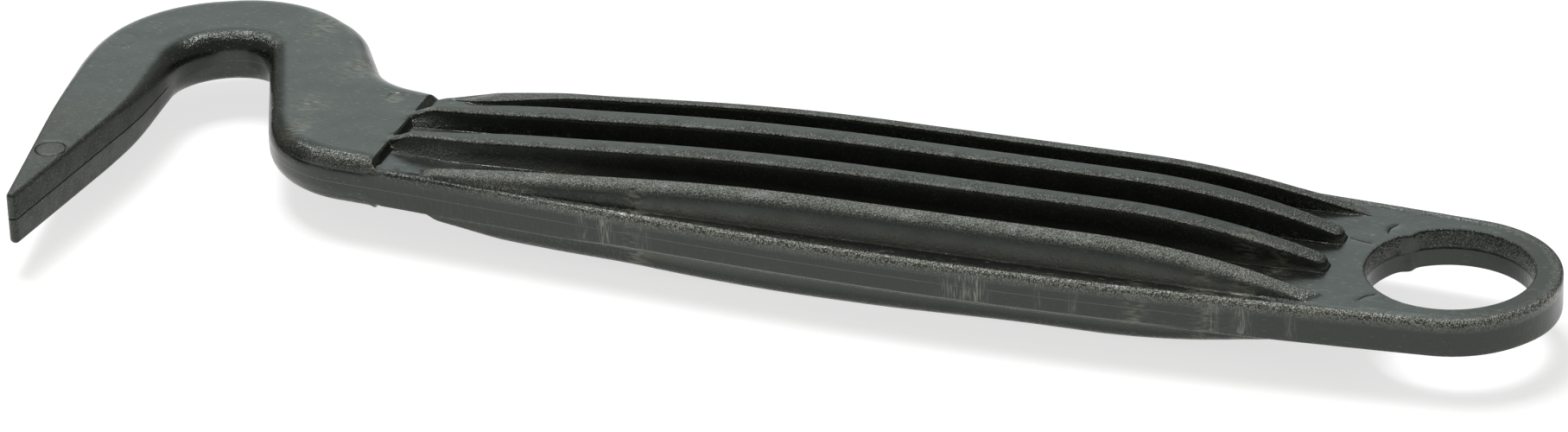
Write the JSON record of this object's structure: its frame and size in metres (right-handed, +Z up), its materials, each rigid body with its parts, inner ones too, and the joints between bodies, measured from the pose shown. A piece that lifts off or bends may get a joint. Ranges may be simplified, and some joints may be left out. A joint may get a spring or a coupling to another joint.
{
  "type": "hoof pick",
  "caption": "Moulded plastic hoof pick with a tapered curved hook, a thick rounded head, a lens-shaped ribbed grip and a hanging hole.",
  "frame": {"origin": "centre of the hanging hole at half thickness", "axes": "+X from the hook to the hanging eye, +Z up along the hole's axis, the hook's tip pointing to -Y"},
  "size_m": [0.1739, 0.0548, 0.0132],
  "materials": {
    "moulded_plastic": "semi-matte moulded black"
  },
  "bodies": {
    "root": {"hook_blade": "moulded_plastic", "hook_bend": "moulded_plastic", "head": "moulded_plastic", "grip_web": "moulded_plastic", "hanging_eye": "moulded_plastic", "upper_rib_1": "moulded_plastic", "upper_rib_2": "moulded_plastic", "upper_rib_3": "moulded_plastic", "upper_rib_4": "moulded_plastic", "lower_rib_1": "moulded_plastic", "lower_rib_2": "moulded_plastic", "lower_rib_3": "moulded_plastic", "lower_rib_4": "moulded_plastic"}
  },
  "joints": []
}
